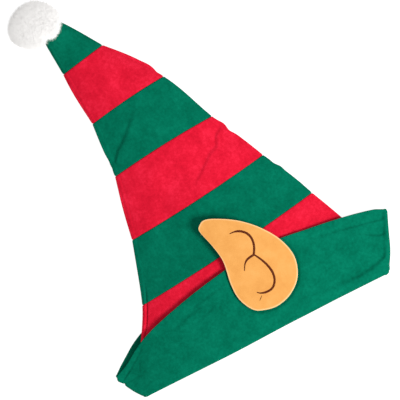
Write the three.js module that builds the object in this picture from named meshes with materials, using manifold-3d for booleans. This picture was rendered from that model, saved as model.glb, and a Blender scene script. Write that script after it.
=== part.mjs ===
// A felt elf hat lying flat on a table: a cone of red and green strips, a green cuff turned up round
// its mouth and drawn out to a point at each end, a felt ear sewn to each face, and a fur pompom.
// Millimetres, +Z up. +Y runs from the mouth to the tip and +X across the mouth.
import * as THREE from "three";
import { mergeVertices } from "three/addons/utils/BufferGeometryUtils.js";
import Module from "manifold-3d";

const wasm = await Module();
wasm.setup();

// Driving sizes.
const mouthWidth = 300; // the mouth pressed flat: half of the 600 mm that goes round a grown head
const coneLength = 404; // from the mouth's fold to the gathered tip
const coneLoft = 20; // how far the upper layer of the cone bulges over the lower one at the mouth
const coneBulge = 0.85; // below 1 the layers part quickly at the side edges, above 1 slowly
const edgeBulge = 1.2; // the same along the cuff's free edge
const feltWall = 1.8; // one layer of felt
const seamGap = 0.3; // between strips that are sewn edge to edge
const layerClearance = 0.4; // between felt pieces that lie on each other
const foldSpace = 2; // clear space inside the fold at the mouth
const edgeRadius = 1.3; // of the fold or seam along each side, at the middle of the wall
const cuffHeight = 88; // from the mouth's fold to the highest point of the cuff's free edge
const cuffSpan = 353; // from point to point
const cuffSwell = 3; // how far its end seams bow out between the fold and the points
const wrapEnd = 0.8; // share of cuffHeight above which the cuff's ends no longer wrap the cone's sides
const cuffOpening = 3; // how far the free edge stands off the cone, besides the clear space
const drapeLength = 34; // over which a layer comes down to the table past what lies under it
const drapeStart = 3.6; // from the cuff's lower free edge to where the cone starts to come down
const earDrape = 17; // from the lower ear's edge to where the layers over it start to come down
const tipLift = 5; // of the tip over the table, where the pompom carries it
const tipDepth = 4; // how far the gathered end rounds out past the last seam
const earLength = 122.5;
const earWidth = 82;
const earThickness = 3;
const earEdge = 0.8; // height and width of the worn edge round an ear
const earDroop = 10; // how far the end of the upper ear sinks towards the cone
const pompomWidth = 62;
const pompomLength = 53; // along the hat
const pompomHeight = 52;
const pompomReach = 14; // from the end of the cone to the middle of the pompom, along the hat
const pompomLean = 14.5; // and across it, to the left
const lockLength = 7; // how far a lock of fur stands out of the pompom's core
const lockWidth = 13; // a lock at its root
const lockSpacing = 0.95; // share of lockWidth from one lock to the next
const lockRoot = 0.25; // share of lockWidth by which a lock is set into the core
const shoulderWidth = 0.36; // a lock's radius where it starts to close, as a share of lockWidth
const shoulderHeight = 0.7; // and how far along the lock that is
const roomDepth = 0.6; // how far the pompom's hollow follows the cone, as a share of the last strip

// How finely the felt is divided.
const acrossSteps = 16; // over the upper layer, and as many under the lower one
const sideSteps = 3; // round each side's fold
const stripSteps = 4; // along one strip
const cuffSteps = 5; // from the free edge to the fold
const foldSteps = 4; // round the fold at the mouth
const hemSteps = 2; // inside the mouth
const crowding = 0.5; // 0 spaces the points evenly over a layer, 1 crowds them towards its sides
const lockSides = 5;
const steer = 0.02; // how far past an edge the felt's direction is taken, in seams
const aim = 0.1; // how far back the tip's direction is taken, in seams
const halvings = 22; // to find a place on a curve
const settlings = 6; // rounds in which a place in the cuff settles
const domeAngles = [Math.PI / 5, (2 * Math.PI) / 5]; // at the gathered tip
const earAround = 36;
const earShares = [1 / 3, 2 / 3]; // rings between an ear's middle and its edge
const earSearch = 240; // points on an ear's outline in which its reach is looked up
const weld = 1e-4; // points this near each other are one

// Sizes that follow.
const turn = feltWall + foldSpace; // from the middle of the cone's wall to the middle of the cuff's
const coneMouth = mouthWidth - 2 * turn; // the cone fits inside the fold
const earRise = earThickness + layerClearance; // the layers over the lower ear stand this much higher

// The seams between the strips, from the mouth's fold and the cuff's hem to the tip. Left and right are
// where a seam meets the two side edges: x as a share of coneMouth, y as a share of coneLength. Bow is how
// far a seam bends towards the tip at its middle, as a share of coneLength. Loft is a share of coneLoft,
// lift of tipLift.
const seams = [
  { leftX: -0.5, leftY: 0.0, rightX: 0.5, rightY: 0.0, bow: 0.0, loft: 1.0, lift: 0 },
  { leftX: -0.479, leftY: 0.074, rightX: 0.489, rightY: 0.106, bow: 0.0, loft: 1.0, lift: 0 },
  { leftX: -0.369, leftY: 0.218, rightX: 0.392, rightY: 0.286, bow: -0.006, loft: 0.94, lift: 0 },
  { leftX: -0.293, leftY: 0.391, rightX: 0.29, rightY: 0.439, bow: -0.005, loft: 0.84, lift: 0 },
  { leftX: -0.243, leftY: 0.568, rightX: 0.182, rightY: 0.597, bow: 0.004, loft: 0.74, lift: 0 },
  { leftX: -0.231, leftY: 0.725, rightX: 0.086, rightY: 0.754, bow: 0.003, loft: 0.66, lift: 0 },
  { leftX: -0.246, leftY: 0.882, rightX: -0.068, rightY: 0.905, bow: 0.0, loft: 0.5, lift: 0.3 },
  { leftX: -0.256, leftY: 0.99, rightX: -0.168, rightY: 1.01, bow: 0.0, loft: 0.25, lift: 1 },
];

// The strips between those seams, named from the tip, with the seam that each one starts at. Swell is
// how far its side edges stand out between its seams, as a share of coneMouth.
const strips = [
  { name: "strip_1_green_tip", seam: 6, colour: "green", leftSwell: 0, rightSwell: 0.003 },
  { name: "strip_2_red", seam: 5, colour: "red", leftSwell: 0.006, rightSwell: 0.012 },
  { name: "strip_3_green", seam: 4, colour: "green", leftSwell: 0.006, rightSwell: 0.001 },
  { name: "strip_4_red", seam: 3, colour: "red", leftSwell: 0.007, rightSwell: 0.003 },
  { name: "strip_5_green", seam: 2, colour: "green", leftSwell: 0.003, rightSwell: 0.004 },
  { name: "strip_6_red", seam: 1, colour: "red", leftSwell: 0, rightSwell: 0.002 },
];

// Creases in the upper layer of the cone and of the cuff, each from a side edge inwards. x is a share
// of mouthWidth, y and width, to each side of the crease, of coneLength, and depth of coneLoft.
const coneCreases = [
  { fromX: -0.23, fromY: 0.605, toX: -0.045, toY: 0.708, depth: 0.14, width: 0.026 },
  { fromX: 0.205, fromY: 0.557, toX: 0.013, toY: 0.456, depth: 0.14, width: 0.024 },
  { fromX: 0.32, fromY: 0.376, toX: 0.23, toY: 0.332, depth: 0.12, width: 0.026 },
];
const cuffCreases = [
  { fromX: 0.57, fromY: 0.15, toX: 0.28, toY: 0.183, depth: 0.12, width: 0.024 },
  { fromX: 0.565, fromY: 0.095, toX: 0.46, toY: 0.13, depth: 0.1, width: 0.024 },
];

// The cuff's free edge from its left point to its right one. Across runs from -1 to 1 over cuffSpan;
// the heights of the upper and the lower layer are shares of cuffHeight.
const freeEdge = [
  { across: -1, upper: 0.34, lower: 0.36 },
  { across: -0.9, upper: 0.43, lower: 0.505 },
  { across: -0.7, upper: 0.64, lower: 0.715 },
  { across: -0.4, upper: 0.81, lower: 0.865 },
  { across: -0.1, upper: 0.925, lower: 0.95 },
  { across: 0.2, upper: 0.995, lower: 0.995 },
  { across: 0.5, upper: 0.93, lower: 0.93 },
  { across: 0.75, upper: 0.855, lower: 0.85 },
  { across: 0.92, upper: 0.78, lower: 0.77 },
  { across: 1, upper: 0.72, lower: 0.71 },
];
const cuffShift = 0.0135; // how far the cuff's points lie to the right, as a share of cuffSpan

// The ear's outline round its middle, x as a share of earWidth and y as a share of earLength.
const earOutline = [
  { x: -0.492, y: 0.516 },
  { x: -0.429, y: 0.35 },
  { x: -0.398, y: 0.183 },
  { x: -0.445, y: -0.032 },
  { x: -0.432, y: -0.189 },
  { x: -0.325, y: -0.331 },
  { x: -0.169, y: -0.387 },
  { x: 0.024, y: -0.401 },
  { x: 0.241, y: -0.352 },
  { x: 0.422, y: -0.239 },
  { x: 0.506, y: -0.064 },
  { x: 0.446, y: 0.127 },
  { x: 0.28, y: 0.305 },
  { x: 0.065, y: 0.447 },
  { x: -0.173, y: 0.545 },
  { x: -0.361, y: 0.593 },
  { x: -0.458, y: 0.569 },
];
const earAcross = 0.083; // the ear's middle: x as a share of mouthWidth
const earUp = 0.79; // and y as a share of cuffHeight

const lerp = THREE.MathUtils.lerp;
const clamp01 = (v) => THREE.MathUtils.clamp(v, 0, 1);
const smooth = (v, from, to) => THREE.MathUtils.smoothstep(v, from, to);

// The larger of two heights, with the corner between them rounded over a band of the given width.
function smoothMax(a, b, band) {
  return Math.max(a, b) + Math.max(band - Math.abs(a - b), 0) ** 2 / (4 * band);
}

// A table as a smooth curve, whose x is a value and whose y is the place that the value belongs to.
function tableCurve(rows, valueOf, placeOf) {
  return new THREE.SplineCurve(rows.map((row) => new THREE.Vector2(valueOf(row), placeOf(row))));
}

// The value of such a curve at a place, by halving.
function valueAt(curve, place) {
  let low = 0;
  let high = 1;
  for (let i = 0; i < halvings; i++) {
    const middle = (low + high) / 2;
    if (curve.getPoint(middle).y < place) low = middle;
    else high = middle;
  }
  return curve.getPoint((low + high) / 2).x;
}

// The cone's side edges, loft and lift along its length.
const leftEdge = tableCurve(seams, (s) => s.leftX * coneMouth, (s) => s.leftY * coneLength);
const rightEdge = tableCurve(seams, (s) => s.rightX * coneMouth, (s) => s.rightY * coneLength);
const middleOf = (s) => ((s.leftY + s.rightY) / 2) * coneLength;
const loftAlong = tableCurve(seams, (s) => s.loft * coneLoft, middleOf);
const liftAlong = tableCurve(seams, (s) => s.lift * tipLift, middleOf);
const bowAlong = new THREE.SplineCurve(seams.map((s, i) => new THREE.Vector2(s.bow * coneLength, i)));

// The cuff's free edge, and how its middle and its two end seams run from the fold to the points.
const upperEdge = tableCurve(freeEdge, (r) => r.upper * cuffHeight, (r) => r.across);
const lowerEdge = tableCurve(freeEdge, (r) => r.lower * cuffHeight, (r) => r.across);
const cuffMiddle = (rise) => rise * cuffShift * cuffSpan;
const cuffBow = (rise) => cuffSwell * Math.sin(Math.PI * Math.sqrt(rise));
const cuffHalf = (rise) => lerp(mouthWidth, cuffSpan, rise) / 2 + cuffBow(rise);

// A plan point in the cuff: how far it is across, from -1 to 1, and how far up, from 0 to 1.
function cuffPlace(x, y, edge) {
  let across = 0;
  let rise = 0;
  for (let i = 0; i < settlings; i++) {
    rise = clamp01(y / valueAt(edge, THREE.MathUtils.clamp(across, -1, 1)));
    across = (x - cuffMiddle(rise)) / cuffHalf(rise);
  }
  return { across, rise };
}

// The ear's outline as a closed curve round its middle, and its reach in each direction.
const earMiddle = new THREE.Vector2(earAcross * mouthWidth, earUp * cuffHeight);
const earCurve = new THREE.CatmullRomCurve3(
  earOutline.map((p) => new THREE.Vector3(p.x * earWidth, p.y * earLength, 0)),
  true,
  "centripetal",
);
const earPoints = earCurve.getPoints(earSearch).slice(0, -1);

function earReach(angle) {
  const facing = new THREE.Vector2(Math.cos(angle), Math.sin(angle));
  let best = earPoints[0];
  let closest = -Infinity;
  for (const p of earPoints) {
    const cosine = (p.x * facing.x + p.y * facing.y) / Math.hypot(p.x, p.y);
    if (cosine > closest) {
      closest = cosine;
      best = p;
    }
  }
  return Math.hypot(best.x, best.y);
}

// How far the lower layers are lifted by the ear under them: 1 over it, falling to 0 round it.
function overEar(x, y) {
  const dx = x - earMiddle.x;
  const dy = y - earMiddle.y;
  const outside = Math.hypot(dx, dy) - earReach(Math.atan2(dy, dx));
  return 1 - smooth(outside, earDrape, earDrape + drapeLength);
}

// Heights of the middle of each layer of felt over a plan point, from the table upwards.
function cuffUnder(x, y) {
  return feltWall / 2 + earRise * overEar(x, y);
}

function coneUnder(x, y) {
  const across = (2 * (x - cuffMiddle(1))) / cuffSpan;
  const start = valueAt(lowerEdge, THREE.MathUtils.clamp(across, -1, 1)) + drapeStart;
  const overCuff = 1 - smooth(y, start, start + drapeLength);
  return cuffUnder(x, y) + turn * overCuff + Math.max(0, valueAt(liftAlong, y));
}

// How far a plan point is across the cone: -1 and 1 are its side edges.
function coneAcross(x, y) {
  const left = valueAt(leftEdge, y);
  const right = valueAt(rightEdge, y);
  return (2 * x - left - right) / (right - left);
}

const bulge = (across, power) => Math.max(0, 1 - across * across) ** power;

// The depth of the creases at a plan point. Each fades out towards its inner end.
function creaseDepth(creases, x, y) {
  let depth = 0;
  for (const c of creases) {
    const from = new THREE.Vector2(c.fromX * mouthWidth, c.fromY * coneLength);
    const line = new THREE.Vector2(c.toX * mouthWidth, c.toY * coneLength).sub(from);
    const point = new THREE.Vector2(x, y).sub(from);
    const along = clamp01(point.dot(line) / line.lengthSq());
    const away = point.distanceTo(line.clone().multiplyScalar(along)) / (c.width * coneLength);
    depth = Math.max(depth, c.depth * coneLoft * (1 - along * along) * Math.exp(-away * away));
  }
  return depth;
}

function coneOver(x, y) {
  const across = coneAcross(x, y);
  const rise = valueAt(loftAlong, y) * bulge(across, coneBulge);
  return coneUnder(x, y) + 2 * edgeRadius + rise - Math.min(creaseDepth(coneCreases, x, y), rise / 2);
}

// The upper layer of the cuff spans from point to point, and never comes nearer the cone than turn.
function cuffOver(x, y) {
  const { across, rise } = cuffPlace(x, y, upperEdge);
  const side = cuffSide(rise);
  const power = lerp(coneBulge, edgeBulge, rise);
  const loft = valueAt(loftAlong, y) + 2 * (turn + edgeRadius - side) + cuffOpening * rise * rise;
  const swell = loft * bulge(across, power);
  const crease = Math.min(creaseDepth(cuffCreases, x, y), swell / 2);
  const span = cuffUnder(x, y) + 2 * side + swell - crease;
  const beyond = Math.max(0, Math.abs(coneAcross(x, y)) - 1) * coneMouth;
  return smoothMax(span, coneOver(x, y) + turn - beyond, foldSpace);
}

// Half the distance between the cuff's two layers at its ends: it wraps the cone's edge at the fold.
function cuffSide(rise) {
  return edgeRadius + turn * (1 - smooth(rise, 0, wrapEnd));
}

// How far across each step over a layer lies, from 1 at its right side to -1 at its left.
const spread = (k) => lerp(1 - (2 * k) / acrossSteps, Math.cos((Math.PI * k) / acrossSteps), crowding);
const sideTurn = (k) => (Math.PI * k) / (sideSteps + 1);

// The stations round a flattened ring: over the top from right to left, round the left side, back
// underneath, and round the right side. turnBy is the angle round a side, from its upper end.
const stations = [];
for (let k = 0; k <= acrossSteps; k++) stations.push({ across: spread(k), layer: "upper", turnBy: 0 });
for (let k = 1; k <= sideSteps; k++) stations.push({ across: -1, layer: "side", turnBy: sideTurn(k) });
for (let k = acrossSteps; k >= 0; k--) {
  stations.push({ across: spread(k), layer: "lower", turnBy: Math.PI });
}
for (let k = sideSteps; k >= 1; k--) stations.push({ across: 1, layer: "side", turnBy: sideTurn(k) });

// One ring's points, from the plan points of its two layers and the heights of those layers.
function ringPoints(upperPlan, lowerPlan, overOf, underOf, sideRadius) {
  return stations.map(({ across, layer, turnBy }) => {
    if (layer === "upper") {
      const p = upperPlan(across);
      return new THREE.Vector3(p.x, p.y, overOf(p.x, p.y));
    }
    if (layer === "lower") {
      const p = lowerPlan(across);
      return new THREE.Vector3(p.x, p.y, underOf(p.x, p.y));
    }
    const high = upperPlan(across);
    const low = lowerPlan(across);
    const y = lerp(high.y, low.y, turnBy / Math.PI);
    const foot = underOf(low.x, low.y);
    const middle = (foot + overOf(high.x, high.y)) / 2;
    const out = sideRadius * Math.sin(turnBy) * Math.sign(across);
    return new THREE.Vector3(low.x + out, y, middle + (middle - foot) * Math.cos(turnBy));
  });
}

// The cone's ring at a place counted in seams: 0 is the mouth and 1 the hem.
function coneRing(place) {
  const share = place / (seams.length - 1);
  const left = leftEdge.getPoint(share);
  const right = rightEdge.getPoint(share);
  const strip = strips.find(({ seam }) => seam === Math.floor(place));
  if (strip) {
    const swell = Math.sin(Math.PI * (place - strip.seam)) * coneMouth;
    left.x -= strip.leftSwell * swell;
    right.x += strip.rightSwell * swell;
  }
  left.x += edgeRadius;
  right.x -= edgeRadius;
  const bow = bowAlong.getPoint(share).x;
  const plan = (across) => {
    const p = left.clone().lerp(right, (across + 1) / 2);
    p.y += bow * (1 - across * across);
    return p;
  };
  return ringPoints(plan, plan, coneOver, coneUnder, edgeRadius);
}

// The cuff's outer ring at a share of the way from the fold up to the free edge.
function cuffRing(rise) {
  const half = cuffHalf(rise) - cuffSide(rise);
  const planOn = (edge) => (across) =>
    new THREE.Vector2(cuffMiddle(rise) + half * across, rise * valueAt(edge, across));
  return ringPoints(planOn(upperEdge), planOn(lowerEdge), cuffOver, cuffUnder, cuffSide(rise));
}

// A ring part of the way round the fold, between the cuff's outer ring and the cone's.
function foldRing(outer, inner, angle) {
  return outer.map((o, i) => {
    const across = inner[i].clone().sub(o);
    const middle = o.clone().lerp(inner[i], 0.5);
    const depth = across.length() / 2;
    middle.addScaledVector(across, -Math.cos(angle) / 2);
    middle.y -= depth * Math.sin(angle);
    return middle;
  });
}

// Which way the felt faces at each point of the inner rings. The first and the last ring only steer.
function ringNormals(rings) {
  return rings.slice(1, -1).map((ring, r) =>
    ring.map((_, i) => {
      const along = rings[r + 2][i].clone().sub(rings[r][i]);
      const round = ring[(i + 1) % ring.length].clone().sub(ring.at(i - 1));
      return along.cross(round).normalize();
    }),
  );
}

// The inner rings moved out along their normals.
function offsetRings(rings, distance) {
  const normals = ringNormals(rings);
  return rings.slice(1, -1).map((ring, r) =>
    ring.map((p, i) => p.clone().addScaledVector(normals[r][i], distance)),
  );
}

// Felt of even thickness laid along a grid of rings, of which the first and the last only steer. With
// a point to close at, the felt ends there in a dome.
function feltShell(rings, closeAt) {
  const count = rings[0].length;
  const outside = offsetRings(rings, feltWall / 2);
  const inside = offsetRings(rings, -feltWall / 2);
  const positions = [...outside.flat(), ...inside.flat()];
  const triangles = [];
  const at = (side, r, i) => (side * outside.length + r) * count + (i % count);
  const quad = (a, b, c, d) => triangles.push(a, b, c, a, c, d);
  const last = outside.length - 1;
  for (let i = 0; i < count; i++) {
    for (let r = 0; r < last; r++) {
      quad(at(0, r, i), at(0, r + 1, i), at(0, r + 1, i + 1), at(0, r, i + 1));
      quad(at(1, r, i), at(1, r, i + 1), at(1, r + 1, i + 1), at(1, r + 1, i));
    }
    quad(at(0, 0, i), at(0, 0, i + 1), at(1, 0, i + 1), at(1, 0, i));
    if (!closeAt) quad(at(0, last, i), at(1, last, i), at(1, last, i + 1), at(0, last, i + 1));
  }
  if (closeAt) {
    const ahead = closeAt.clone().sub(centreOf(rings[last + 1])).normalize();
    positions.push(closeAt.clone().addScaledVector(ahead, feltWall / 2));
    positions.push(closeAt.clone().addScaledVector(ahead, -feltWall / 2));
    const pole = positions.length - 2;
    for (let i = 0; i < count; i++) {
      triangles.push(at(0, last, i), pole, at(0, last, i + 1));
      triangles.push(at(1, last, i), at(1, last, i + 1), pole + 1);
    }
  }
  return solidGeometry(positions, triangles);
}

function centreOf(points) {
  const sum = new THREE.Vector3();
  for (const p of points) sum.add(p);
  return sum.divideScalar(points.length);
}

function solidGeometry(positions, triangles) {
  const geometry = new THREE.BufferGeometry().setFromPoints(positions).setIndex(triangles);
  geometry.computeVertexNormals();
  return geometry;
}

// Each strip is one ring of felt between two seams. The one at the tip is gathered shut.
function stripGeometry(seam) {
  const gap = seamGap / 2 / (middleOf(seams[seam + 1]) - middleOf(seams[seam]));
  const isTip = seam === seams.length - 2;
  const from = seam + gap;
  const to = isTip ? seam + 1 : seam + 1 - gap;
  const rings = [coneRing(from - steer)];
  for (let k = 0; k <= stripSteps; k++) rings.push(coneRing(lerp(from, to, k / stripSteps)));
  if (!isTip) {
    rings.push(coneRing(to + steer));
    return feltShell(rings);
  }
  const dome = tipDome();
  return feltShell([...rings, ...dome.rings], dome.pole);
}

// The gathered end: rings that draw in to a point past the last seam. The last ring is that point.
function tipDome() {
  const last = coneRing(seams.length - 1);
  const centre = centreOf(last);
  const ahead = centre.clone().sub(centreOf(coneRing(seams.length - 1 - aim))).normalize();
  const pole = centre.clone().addScaledVector(ahead, tipDepth);
  const drawnIn = (angle) => {
    const forward = ahead.clone().multiplyScalar(tipDepth * Math.sin(angle));
    return last.map((p) => p.clone().lerp(centre, 1 - Math.cos(angle)).add(forward));
  };
  return { rings: [...domeAngles.map(drawnIn), last.map(() => pole)], centre, ahead, pole };
}

// The cuff is one band: down its outside from the free edge, round the fold and up inside the mouth.
function cuffGeometry() {
  const hemEnd = 1 - seamGap / 2 / middleOf(seams[1]);
  const outside = [];
  for (let k = 0; k <= cuffSteps; k++) outside.push(cuffRing(1 - k / cuffSteps));
  const fold = outside.pop();
  const mouth = coneRing(0);
  const rings = [...outside];
  for (let k = 0; k <= foldSteps; k++) rings.push(foldRing(fold, mouth, (Math.PI * k) / foldSteps));
  for (let k = 1; k <= hemSteps; k++) rings.push(coneRing((hemEnd * k) / hemSteps));
  const beyond = rings[0].map((p, i) => p.clone().multiplyScalar(2).sub(rings[1][i]));
  return feltShell([beyond, ...rings, coneRing(hemEnd + steer)]);
}

// An ear is a plate with a worn edge. seat gives the height of its lower face over a plan point.
function earGeometry(seat) {
  const inset = (reach) => (reach - earEdge) / reach;
  const levels = [
    ...earShares.map((share) => ({ share: () => share, up: 0 })),
    { share: inset, up: 0 },
    { share: () => 1, up: earEdge },
    { share: () => 1, up: earThickness - earEdge },
    { share: inset, up: earThickness },
    ...earShares.toReversed().map((share) => ({ share: () => share, up: earThickness })),
  ];
  const place = (x, y, up) => new THREE.Vector3(x, y, seat(x, y) + up);
  const positions = [place(earMiddle.x, earMiddle.y, 0)];
  for (const level of levels) {
    for (let i = 0; i < earAround; i++) {
      const rim = earCurve.getPointAt(i / earAround);
      const share = level.share(Math.hypot(rim.x, rim.y));
      positions.push(place(earMiddle.x + rim.x * share, earMiddle.y + rim.y * share, level.up));
    }
  }
  positions.push(place(earMiddle.x, earMiddle.y, earThickness));
  const top = positions.length - 1;
  const at = (level, i) => 1 + level * earAround + (i % earAround);
  const triangles = [];
  for (let i = 0; i < earAround; i++) {
    triangles.push(0, at(0, i + 1), at(0, i));
    for (let k = 0; k < levels.length - 1; k++) {
      triangles.push(at(k, i), at(k, i + 1), at(k + 1, i + 1));
      triangles.push(at(k, i), at(k + 1, i + 1), at(k + 1, i));
    }
    triangles.push(at(levels.length - 1, i), at(levels.length - 1, i + 1), top);
  }
  return solidGeometry(positions, triangles);
}

// The upper ear lies on the cuff, and past the free edge it reaches out over the cone, drooping.
function upperEarSeat(x, y) {
  const { across } = cuffPlace(x, y, upperEdge);
  const edge = valueAt(upperEdge, across);
  const end = earMiddle.y + earLength * Math.max(...earOutline.map((p) => p.y));
  const past = Math.max(0, (y - edge) / (end - edge));
  const height = cuffOver(x, Math.min(y, edge));
  return height + feltWall / 2 + layerClearance - earDroop * past * past;
}

function asSolid(geometry) {
  const bare = geometry.clone();
  bare.deleteAttribute("normal");
  bare.deleteAttribute("uv");
  const merged = mergeVertices(bare, weld);
  return new wasm.Manifold(
    new wasm.Mesh({
      numProp: 3,
      vertProperties: merged.attributes.position.array,
      triVerts: new Uint32Array(merged.index.array),
    }),
  );
}

function asGeometry(solid) {
  const mesh = solid.getMesh();
  const geometry = new THREE.BufferGeometry();
  geometry.setAttribute("position", new THREE.BufferAttribute(mesh.vertProperties, 3));
  geometry.setIndex(new THREE.BufferAttribute(mesh.triVerts, 1));
  geometry.computeVertexNormals();
  return geometry;
}

// One lock of fur, standing on the XZ plane: widest at its root and blunt at its end.
function lockGeometry() {
  const root = -lockRoot * lockWidth;
  const profile = [
    new THREE.Vector2(0, root),
    new THREE.Vector2(lockWidth / 2, root),
    new THREE.Vector2(shoulderWidth * lockWidth, shoulderHeight * lockLength),
    new THREE.Vector2(0, lockLength),
  ];
  return new THREE.LatheGeometry(profile, lockSides);
}

// The pompom: locks of fur set evenly over a core, with a hollow where the tip is sewn in.
function pompomGeometry() {
  const tip = tipDome();
  const seat = new THREE.Vector2(tip.centre.x - pompomLean, tip.centre.y + pompomReach);
  const size = new THREE.Vector3(pompomWidth, pompomLength, pompomHeight).divideScalar(2);
  const core = size.clone().subScalar(lockLength);
  let pompom = asSolid(new THREE.IcosahedronGeometry(1, 2).scale(core.x, core.y, core.z));
  const up = new THREE.Vector3(0, 1, 0);
  const turnOn = Math.PI * (3 - Math.sqrt(5));
  const locks = Math.round((4 * Math.PI * size.x * size.y) / (lockWidth * lockSpacing) ** 2);
  for (let k = 0; k < locks; k++) {
    const z = 1 - (2 * (k + 0.5)) / locks;
    const ring = Math.sqrt(1 - z * z);
    const out = new THREE.Vector3(ring * Math.cos(turnOn * k), ring * Math.sin(turnOn * k), z);
    const lock = lockGeometry();
    lock.applyQuaternion(new THREE.Quaternion().setFromUnitVectors(up, out));
    lock.translate(out.x * core.x, out.y * core.y, out.z * core.z);
    pompom = pompom.add(asSolid(lock));
  }
  pompom = pompom.translate(seat.x, seat.y, -pompom.boundingBox().min[2]);
  return asGeometry(pompom.subtract(asSolid(tipRoom(tip))));
}

// The room that the tip takes up in the pompom: the end of the cone, grown by the clear space.
function tipRoom(dome) {
  const end = seams.length - 1;
  const rings = dome.rings;
  for (let k = 0; k <= stripSteps; k++) rings.unshift(coneRing(end - (k * roomDepth) / stripSteps));
  const grow = feltWall / 2 + layerClearance;
  const grown = offsetRings(rings, grow);
  const count = grown[0].length;
  const positions = grown.flat();
  positions.push(centreOf(grown[0]), dome.pole.clone().addScaledVector(dome.ahead, grow));
  const foot = positions.length - 2;
  const pole = positions.length - 1;
  const triangles = [];
  const at = (r, i) => r * count + (i % count);
  for (let i = 0; i < count; i++) {
    triangles.push(foot, at(0, i), at(0, i + 1));
    for (let r = 0; r < grown.length - 1; r++) {
      triangles.push(at(r, i), at(r + 1, i), at(r + 1, i + 1));
      triangles.push(at(r, i), at(r + 1, i + 1), at(r, i + 1));
    }
    triangles.push(at(grown.length - 1, i), pole, at(grown.length - 1, i + 1));
  }
  return solidGeometry(positions, triangles);
}

const felt = (colour) => new THREE.MeshStandardMaterial({ color: colour, roughness: 0.95, metalness: 0 });
const colours = { green: 0x03745a, red: 0xea1d38, tan: 0xfbb566, white: 0xf2f1ef };

const hat = new THREE.Group();

function addPiece(name, geometry, colour) {
  const mesh = new THREE.Mesh(geometry, felt(colours[colour]));
  mesh.name = name;
  hat.add(mesh);
}

for (const { name, seam, colour } of strips) addPiece(name, stripGeometry(seam), colour);
addPiece("cuff", cuffGeometry(), "green");
addPiece("ear_upper", earGeometry(upperEarSeat), "tan");
addPiece("ear_lower", earGeometry(() => 0), "tan");
addPiece("pompom", pompomGeometry(), "white");

// The origin is on the table, under the middle of the hat.
const box = new THREE.Box3().setFromObject(hat, true);
const middle = box.getCenter(new THREE.Vector3());
hat.position.set(-middle.x, -middle.y, -box.min.z);

export default hat;
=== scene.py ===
import math

import bmesh
import bpy
import numpy as np
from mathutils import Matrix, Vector


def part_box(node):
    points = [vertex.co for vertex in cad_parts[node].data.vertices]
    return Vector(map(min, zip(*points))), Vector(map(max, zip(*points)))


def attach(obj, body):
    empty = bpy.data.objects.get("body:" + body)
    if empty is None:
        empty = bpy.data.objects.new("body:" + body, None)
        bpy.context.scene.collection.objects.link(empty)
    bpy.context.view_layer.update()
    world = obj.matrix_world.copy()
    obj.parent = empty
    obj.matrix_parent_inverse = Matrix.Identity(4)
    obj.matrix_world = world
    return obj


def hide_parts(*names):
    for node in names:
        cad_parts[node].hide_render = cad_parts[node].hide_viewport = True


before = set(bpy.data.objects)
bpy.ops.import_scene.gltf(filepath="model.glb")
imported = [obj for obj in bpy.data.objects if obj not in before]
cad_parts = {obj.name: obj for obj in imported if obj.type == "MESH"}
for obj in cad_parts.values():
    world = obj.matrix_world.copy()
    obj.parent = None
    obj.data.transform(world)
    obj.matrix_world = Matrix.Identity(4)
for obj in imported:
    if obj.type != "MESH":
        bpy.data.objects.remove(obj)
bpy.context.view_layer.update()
mm = 0.001  # lengths are in metres


# The cone of the hat: six strips of felt, red and green in turn, sewn edge to edge into one long
# flattened tube. Craft felt of polyester, 1.8 mm thick. Each strip's edges are turned in at the seams,
# and one seam down the left side closes the tube, which is gathered shut at the tip.

felt_wall = 1.8 * mm
layer_clearance = 0.4 * mm  # between felt pieces that lie on each other
fold_space = 2 * mm  # clear space inside the cuff's fold at the mouth
edge_radius = 1.3 * mm  # of the fold along each side, at the middle of the wall
turn = felt_wall + fold_space  # from the middle of the cone's wall to the middle of the cuff's
mouth_width = 300 * mm
cone_mouth = mouth_width - 2 * turn
cone_length = 404 * mm
cone_loft = 20 * mm  # how far the upper layer bulges over the lower one at the mouth
cone_bulge = 0.85  # below 1 the layers part quickly at the side edges
tip_lift = 5 * mm  # of the tip over the table, where the pompom carries it
tip_reach = 14 * mm  # of the gathered end, inside the pompom
ear_thickness = 3 * mm
drape_length = 34 * mm  # over which a layer comes down to the table past what lies under it

# The seams from the mouth to the tip: where each meets the side edges, x as a share of cone_mouth and y
# of cone_length, how far it bends towards the tip as a share of cone_length, and what share of the cone's
# loft and lift it has.
seams = [
    dict(left_x=-0.5, left_y=0.0, right_x=0.5, right_y=0.0, bow=0.0, loft=1.0, lift=0),
    dict(left_x=-0.479, left_y=0.074, right_x=0.489, right_y=0.106, bow=0.0, loft=1.0, lift=0),
    dict(left_x=-0.369, left_y=0.218, right_x=0.392, right_y=0.286, bow=-0.006, loft=0.94, lift=0),
    dict(left_x=-0.293, left_y=0.391, right_x=0.29, right_y=0.439, bow=-0.005, loft=0.84, lift=0),
    dict(left_x=-0.243, left_y=0.568, right_x=0.182, right_y=0.597, bow=0.004, loft=0.74, lift=0),
    dict(left_x=-0.231, left_y=0.725, right_x=0.086, right_y=0.754, bow=0.003, loft=0.66, lift=0),
    dict(left_x=-0.246, left_y=0.882, right_x=-0.068, right_y=0.905, bow=0.0, loft=0.5, lift=0.3),
    dict(left_x=-0.256, left_y=0.99, right_x=-0.168, right_y=1.01, bow=0.0, loft=0.25, lift=1),
]
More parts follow.
